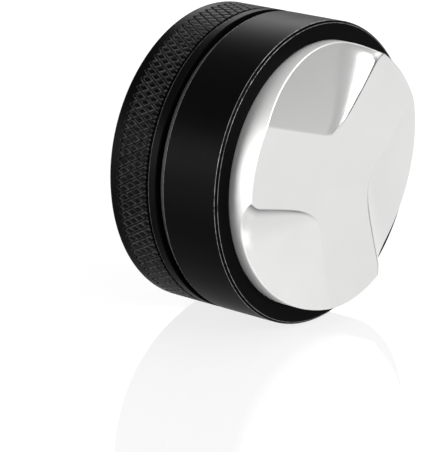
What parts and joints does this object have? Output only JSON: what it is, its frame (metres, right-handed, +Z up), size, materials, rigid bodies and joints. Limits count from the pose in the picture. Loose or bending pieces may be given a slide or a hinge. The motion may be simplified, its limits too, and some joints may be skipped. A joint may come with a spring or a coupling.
{
  "type": "coffee distributor",
  "caption": "Palm distributor for ground coffee: steel base with sloped ramps in a black housing, set by a screw thread and locked by a knurled cap.",
  "frame": {"origin": "centre of the underside of the box around the tool as it lies on its side, where its black outer cylinder touches the table", "axes": "+X along the tool's axis, out of the steel face; +Z up; the palm end points to -X"},
  "size_m": [0.0368, 0.0666, 0.0665],
  "materials": {
    "black_anodised": "satin black anodised aluminium",
    "stainless_steel": "fine satin turned stainless steel",
    "plain_steel": "turned steel",
    "spring_steel": "dark oiled spring steel",
    "brass": "turned brass",
    "rubber": "black silicone rubber",
    "nylon": "natural nylon"
  },
  "bodies": {
    "housing": {"housing_sleeve": "black_anodised", "housing_bush": "brass"},
    "wiper": {"wiper_ring": "rubber"},
    "base": {"distributor_base": "stainless_steel", "threaded_stem": "plain_steel", "stem_screw": "plain_steel", "screw_washer": "plain_steel", "dowel_pin": "plain_steel", "stem_clip": "spring_steel"},
    "cap_seal": {"gap_ring": "rubber", "thrust_washer": "nylon"},
    "cap": {"lock_cap": "black_anodised", "cap_bush": "brass", "palm_disc": "black_anodised"}
  },
  "joints": [
    {"name": "depth_slide", "type": "slide", "parent": "housing", "child": "wiper", "axis": [1, 0, 0], "range_m": [-0.001, 0.0045]},
    {"name": "depth_turn", "type": "hinge", "parent": "wiper", "child": "base", "pos_m": [0, 0, 0.03325], "axis": [1, 0, 0], "range_deg": [-240, 1080]},
    {"name": "cap_slide", "type": "slide", "parent": "housing", "child": "cap_seal", "axis": [-1, 0, 0], "range_m": [0, 0.0015]},
    {"name": "cap_turn", "type": "hinge", "parent": "cap_seal", "child": "cap", "pos_m": [0, 0, 0.03325], "axis": [-1, 0, 0], "range_deg": [0, 360]}
  ],
  "couplings": [
    {"joint": "depth_slide", "follows": "depth_turn", "m_per_rad": 0.00023873},
    {"joint": "cap_slide", "follows": "cap_turn", "m_per_rad": 0.00023873}
  ]
}
